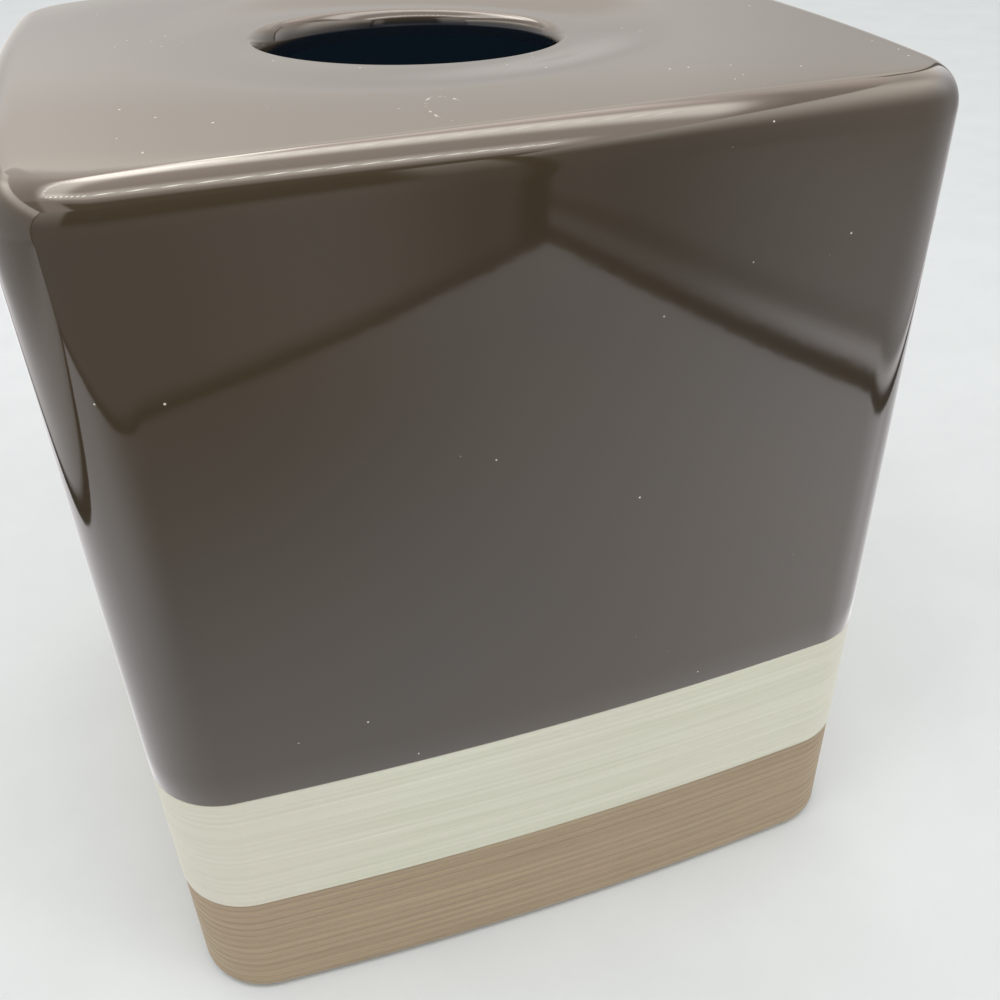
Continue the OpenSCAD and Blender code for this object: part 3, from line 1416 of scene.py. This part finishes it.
@dataclass(frozen=True)
class LeftWall(TentWall):
    """The left wall is palest low down and under the ceiling, with dark seams in front and below."""

    least: float = 0.03
    base: float = 0.92
    pale_foot: Band = Band(0.28, low=0.022, high=0.056, blur=0.02)
    dim_middle: Band = Band(-0.18, low=0.068, high=0.1, blur=0.02)
    upper: Step = Step(0.25, at=0.275, blur=0.05)
    under_ceiling: Step = Step(2.6, at=0.33, blur=0.09)
    ceiling_fades: Step = Step(-0.6, at=0.5, blur=0.12)
    foot_seam: Step = Step(1.0, at=0.011, blur=0.008)
    corner_seam: Step = Step(1.0, at=0.01, blur=0.012)

    def level(self, run: Value, height: Value) -> Value:
        """Sums the glow and cuts the seams out of it.

        Args:
            run: Way along the wall from its front end.
            height: Height above the table.

        Returns:
            Level of the glow.
        """
        low = self.base + self.pale_foot.of(height) + self.dim_middle.of(height)
        ceiling = self.under_ceiling.of(height) * (1 + self.ceiling_fades.of(run))
        seams = self.foot_seam.of(height) * self.corner_seam.of(run)
        return self.least + (low + self.upper.of(height) + ceiling) * seams


@dataclass(frozen=True)
class Row:
    """A straight row of lights under the ceiling, seen from above, with its levels of light."""

    name: str
    middle: Vector
    turn: float
    reach: float
    low: float
    high: float

    @property
    def along(self) -> Vector:
        """Direction of the row."""
        return Vector((math.cos(self.turn), math.sin(self.turn), 0))

    @property
    def across(self) -> Vector:
        """Direction across the row, turned left from its own."""
        return Vector((-self.along.y, self.along.x, 0))


BACK_ROW = Row("lights_back", Vector((0.026, 0.101, 0)), math.radians(-46), 0.185, low=6.0, high=9.5)
FRONT_ROW = Row(
    "lights_front", Vector((-0.042, -0.131, 0)), math.radians(-36.5), 0.2, low=6.0, high=17.0
)
LEFT_ROW = Row("lights_left", Vector((-0.152, 0.118, 0)), math.radians(64), 0.125, low=4.5, high=11.0)


@dataclass(frozen=True)
class Ceiling(Finish):
    """The tent's ceiling, which glows round its rows of lights and is dim outside them."""

    name: str = "tent_ceiling"
    least: float = 0.08
    # The glow round each row, and where it ends along the row
    back_glow: Band = Band(4.2, low=-0.05, high=0.055, blur=0.07)
    back_right_end: Step = Step(-1.0, at=0.19, blur=0.03)
    back_left_end: Step = Step(-1.0, at=0.015, blur=0.04)
    front_glow: Band = Band(3.0, low=-0.03, high=0.03, blur=0.045)
    front_ends: Band = Band(1.0, low=-0.2, high=0.13, blur=0.05)
    left_glow: Band = Band(3.0, low=-0.07, high=0.012, blur=0.05)
    left_end: Step = Step(1.0, at=-0.01, blur=0.03)
    # The plain ceiling, brighter behind and dimmer at the right, and dim outside the rows
    base: float = 2.7
    far_back: Step = Step(0.7, at=0.12, blur=0.1)
    far_right: Step = Step(-1.3, at=0.205, blur=0.04)
    outside_left: Step = Step(-0.45, at=0.03, blur=0.04)
    outside_front: Step = Step(-0.25, at=0.045, blur=0.03)
    # The opening for the camera
    opening: Step = Step(0.95, at=0.078, blur=0.05)
    opening_right: Step = Step(1.0, at=-0.195, blur=0.03)
    warmer: Step = Step(1.0, at=1.5, blur=3.0)

    def paint(self, shader: Shader) -> None:
        """Sums the glow of the rows over a plain level.

        Args:
            shader: The ceiling's shader.
        """
        back, front, left = (
            shader.way(row.middle, row.across) for row in (BACK_ROW, FRONT_ROW, LEFT_ROW)
        )
        before = -1 * front
        right = shader.way(Vector(), RIGHT)
        back_ends = (1 + self.back_right_end.of(right)) * (1 + self.back_left_end.of(left))
        rows = self.back_glow.of(back) * back_ends
        rows = rows + self.front_glow.of(front) * self.front_ends.of(right)
        rows = rows + self.left_glow.of(left) * self.left_end.of(front)
        plain = self.base + self.far_back.of(back) + self.far_right.of(right)
        inside = 1 + self.outside_left.of(left) + self.outside_front.of(before)
        opening = self.opening.of(before) * self.opening_right.of(right)
        level = self.least + (plain * inside + rows) * (1 - opening)
        glow_only(shader, level, shader.mix(self.warmer.of(rows), BLUSH, WARM))


@dataclass(frozen=True)
class Lights(Finish):
    """Small bright lights in even steps along a row."""

    name: str
    row: Row
    pitch: float = 17 * MM
    light: Step = Step(1.0, at=0.35, blur=0.7)
    tint: Tint = (1.0, 0.95, 0.88)

    def paint(self, shader: Shader) -> None:
        """Round lights over the row's own even glow.

        Args:
            shader: The row's shader.
        """
        turns = shader.way(self.row.middle, self.row.along) * (math.tau / self.pitch)
        lights = (self.row.high - self.row.low) * self.light.of(turns.sine())
        glow_only(shader, self.row.low + lights, self.tint)


@dataclass(frozen=True)
class PaleFloor(Finish):
    """Matt pale tabletop. Gloss sees it as the real one is lit, dimmer beside the camera."""

    name: str = "pale_floor"
    colour: Colour = srgb(223, 225, 225)
    cloudy: Colour = srgb(228, 230, 230)
    tint: Tint = (1.0, 0.98, 1.0)
    # Levels that gloss sees: plain, on either side, near the camera and in its shade
    base: float = 1.1
    right_part: Step = Step(0.48, at=0.11, blur=0.2)
    left_part: Step = Step(0.38, at=0.15, blur=0.1)
    near_part: Step = Step(-0.26, at=0.25, blur=0.2)
    shade_middle: Vector = field(default_factory=lambda: Vector((-0.13, -0.3, 0.0)))
    in_shade: float = 0.48
    out_of_shade: Step = Step(0.52, at=0.13, blur=0.16)
    # The dimmer stretch at the cover's right side, and the dark under the cover
    beside: Step = Step(0.28, at=0.12, blur=0.04)
    beside_front_end: Step = Step(-1.0, at=0.075, blur=0.04)
    under: Band = Band(1.0, low=-0.066, high=0.066, blur=0.002)

    def shine(self, shader: Shader) -> Value:
        """Works out the tabletop as gloss sees it.

        Args:
            shader: The floor's shader.

        Returns:
            Level of its glow.
        """
        right = shader.way(Vector(), RIGHT)
        front = shader.way(Vector(), FRONT)
        bright = self.base + self.right_part.of(right) + self.left_part.of(-1 * right)
        shade = self.in_shade + self.out_of_shade.of(shader.distance(self.shade_middle))
        beside = self.beside.of(right) * (1 + self.beside_front_end.of(front))
        under = self.under.of(right) * self.under.of(front)
        return bright * (1 + self.near_part.of(front)) * shade * (1 - beside) * (1 - under)

    def paint(self, shader: Shader) -> None:
        """A faintly mottled matt white, with its own glow in place of it for gloss.

        Args:
            shader: The floor's shader.
        """
        mottle = shader.noise(shader.place, scale=30.0, detail=4.0, rough=0.6)
        shader.set(
            Base_Color=shader.mix(mottle.above(0.5, blur=0.6), self.colour, self.cloudy),
            Roughness=0.9,
            Specular_IOR_Level=0.2,
        )
        matt = Value(shader, shader.surface.outputs[0])
        colour = shader.tinted(self.shine(shader), self.tint)
        glow = shader.node("ShaderNodeEmission", {}, {"Color": colour})
        in_gloss = shader.node("ShaderNodeLightPath", {}, {}, "Is Glossy Ray")
        seen = shader.node("ShaderNodeMixShader", {}, {0: in_gloss, 1: matt, 2: glow})
        shader.feed(shader.tree.nodes["Material Output"].inputs["Surface"], seen)


def in_gloss_only(card: bpy.types.Object) -> None:
    """Lets a card show only as a reflection: it neither lights nor shades anything.

    Args:
        card: The card's object.
    """
    card.visible_camera = False
    card.visible_diffuse = False
    card.visible_transmission = False
    card.visible_volume_scatter = False
    card.visible_shadow = False


@dataclass(frozen=True)
class Lamp:
    """A soft bar of light over the cover."""

    name: str
    place: Vector
    energy: float
    length: float = 0.55
    width: float = 0.10
    turn: float = math.radians(-20.3)


LAMPS = (
    Lamp("front_bar", Vector((-0.05, -0.15, 0.46)), 0.64),
    Lamp("back_bar", Vector((-0.02, 0.5, 0.5)), 0.45),
)


@dataclass(frozen=True)
class Studio:
    """A pale floor and soft lamps, with a white tent round them that only the gloss reflects."""

    ceiling: float = 0.404
    front_right: Vector = field(default_factory=lambda: Vector((0.132, -0.412, 0.0)))
    front_turn: float = math.radians(-26.2)
    right_turn: float = math.radians(70.4)
    width: float = 0.555
    back_width: float = 0.67
    depth: float = 0.65
    # The left wall's foot: straight behind, swinging out to the front wall before swing_from
    left_foot: float = -0.195
    swing_from: float = 0.1
    swing: float = 1.89
    swing_power: float = 1.845
    left_columns: int = 24
    row_width: float = 0.012
    row_height_share: float = 0.99
    floor_reach: float = 3.0
    sky: Colour = srgb(236, 238, 238)
    sky_strength: float = 1.06

    def build(self) -> None:
        """Makes the floor, the tent, the lamps and the pale world."""
        reach = self.floor_reach
        corners = [Vector((x * reach, y * reach, 0)) for x, y in ((-1, -1), (1, -1), (1, 1), (-1, 1))]
        self.card("pale_floor", corners, PaleFloor())
        self.tent()
        for lamp in LAMPS:
            self.hang(lamp)
        self.world()

    def card(self, name: str, corners: Sequence[Vector], finish: Finish) -> bpy.types.Object:
        """Makes one flat card of the stage.

        Args:
            name: The card's name.
            corners: Its corners in order.
            finish: Its finish.

        Returns:
            The card's object.
        """
        mesh = bmesh.new()
        mesh.faces.new([mesh.verts.new(corner) for corner in corners])
        return self.staged(name, mesh, finish)

    def staged(self, name: str, mesh: bmesh.types.BMesh, finish: Finish) -> bpy.types.Object:
        """Turns a mesh into an object of the stage.

        Args:
            name: The object's name.
            mesh: Its mesh, which is freed.
            finish: Its finish.

        Returns:
            The object.
        """
        data = bpy.data.meshes.new(name)
        mesh.to_mesh(data)
        mesh.free()
        made = bpy.data.objects.new(name, data)
        data.materials.append(finish.material())
        bpy.context.scene.collection.objects.link(made)
        return made

    def wall(self, kind: type[TentWall], name: str, start: Vector, end: Vector) -> None:
        """Makes one upright wall of the tent.

        Args:
            kind: The wall's finish.
            name: The wall's name.
            start: Foot of its one end.
            end: Foot of its other end.
        """
        rise = Vector((0, 0, self.ceiling))
        finish = kind(name, start, (end - start).normalized())
        in_gloss_only(self.card(name, [start, end, end + rise, start + rise], finish))

    def left_wall(self, start: Vector, end: Vector) -> None:
        """Makes the left wall, which leans outwards from a foot that runs back near the cover.

        Args:
            start: Corner with the front wall.
            end: Corner with the back wall.
        """
        rise = Vector((0, 0, self.ceiling))
        mesh = bmesh.new()
        pairs = []
        for column in range(self.left_columns + 1):
            above = start + (end - start) * column / self.left_columns
            swing = self.swing * max(self.swing_from - above.y, 0) ** self.swing_power
            foot = Vector((max(self.left_foot - swing, start.x), above.y, 0))
            pairs.append((mesh.verts.new(foot), mesh.verts.new(above + rise)))
        for (foot, top), (next_foot, next_top) in zip(pairs, pairs[1:]):
            mesh.faces.new((foot, next_foot, next_top, top))
        finish = LeftWall("tent_left", start, (end - start).normalized())
        in_gloss_only(self.staged("tent_left", mesh, finish))

    def tent(self) -> None:
        """Makes four walls, and a ceiling with its rows of lights."""
        front_way = Vector((math.cos(self.front_turn), math.sin(self.front_turn), 0))
        right_way = Vector((math.cos(self.right_turn), math.sin(self.right_turn), 0))
        front_left = self.front_right - front_way * self.width
        back_right = self.front_right + right_way * self.depth
        back_left = back_right - front_way * self.back_width
        self.wall(FrontWall, "tent_front", self.front_right, front_left)
        self.wall(RightWall, "tent_right", self.front_right, back_right)
        self.wall(BackWall, "tent_back", back_right, back_left)
        self.left_wall(front_left, back_left)
        rise = Vector((0, 0, self.ceiling))
        roof = [corner + rise for corner in (front_left, self.front_right, back_right, back_left)]
        in_gloss_only(self.card("tent_ceiling", roof, Ceiling()))
        for row in (BACK_ROW, FRONT_ROW, LEFT_ROW):
            middle = row.middle + rise * self.row_height_share
            reach = row.along * row.reach
            half = row.across * self.row_width / 2
            left, right = middle - reach, middle + reach
            bar = [left - half, right - half, right + half, left + half]
            in_gloss_only(self.card(row.name, bar, Lights(row.name, row)))

    def hang(self, lamp: Lamp) -> None:
        """Hangs a lamp that lights the scene but doesn't show in the gloss.

        Args:
            lamp: The lamp's name, place and sizes.
        """
        light = bpy.data.lights.new(lamp.name, "AREA")
        light.shape = "RECTANGLE"
        light.size = lamp.length
        light.size_y = lamp.width
        light.energy = lamp.energy
        holder = bpy.data.objects.new(lamp.name, light)
        holder.location = lamp.place
        holder.rotation_euler = Euler((0, 0, lamp.turn))
        holder.visible_glossy = False
        bpy.context.scene.collection.objects.link(holder)

    def world(self) -> None:
        """Sets even pale light from all round."""
        world = bpy.data.worlds.new("pale_world")
        world.use_nodes = True
        background = world.node_tree.nodes["Background"]
        background.inputs["Color"].default_value = self.sky
        background.inputs["Strength"].default_value = self.sky_strength
        bpy.context.scene.world = world


@dataclass(frozen=True)
class PhotoCamera:
    """The camera, where the photograph was taken from and with its framing."""

    place: tuple[float, float, float] = (-0.04801, -0.18971, 0.19206)
    turns: tuple[float, float, float] = (56.076, 2.094, -18.176)
    lens: float = 37.84
    sensor_width: float = 36.0
    shift: tuple[float, float] = (0.0223, -0.0187)
    near: float = 0.01
    far: float = 20.0

    def build(self) -> None:
        """Makes the camera and looks through it."""
        camera = bpy.data.cameras.new("photo_camera")
        camera.lens = self.lens
        camera.sensor_width = self.sensor_width
        camera.shift_x, camera.shift_y = self.shift
        camera.clip_start = self.near
        camera.clip_end = self.far
        holder = bpy.data.objects.new("photo_camera", camera)
        holder.location = self.place
        holder.rotation_euler = Euler([math.radians(turn) for turn in self.turns])
        bpy.context.scene.collection.objects.link(holder)
        bpy.context.scene.camera = holder


def main() -> None:
    """Builds the cover piece by piece, then the studio and the camera."""
    logging.basicConfig(level=logging.INFO, format="%(message)s")
    for piece in Cover().pieces():
        made = piece.make()
        LOG.info("%s: %d faces", made.name, len(made.data.polygons))
    Studio().build()
    PhotoCamera().build()
    bpy.context.scene.view_settings.view_transform = "Standard"


if __name__ == "__main__":
    main()
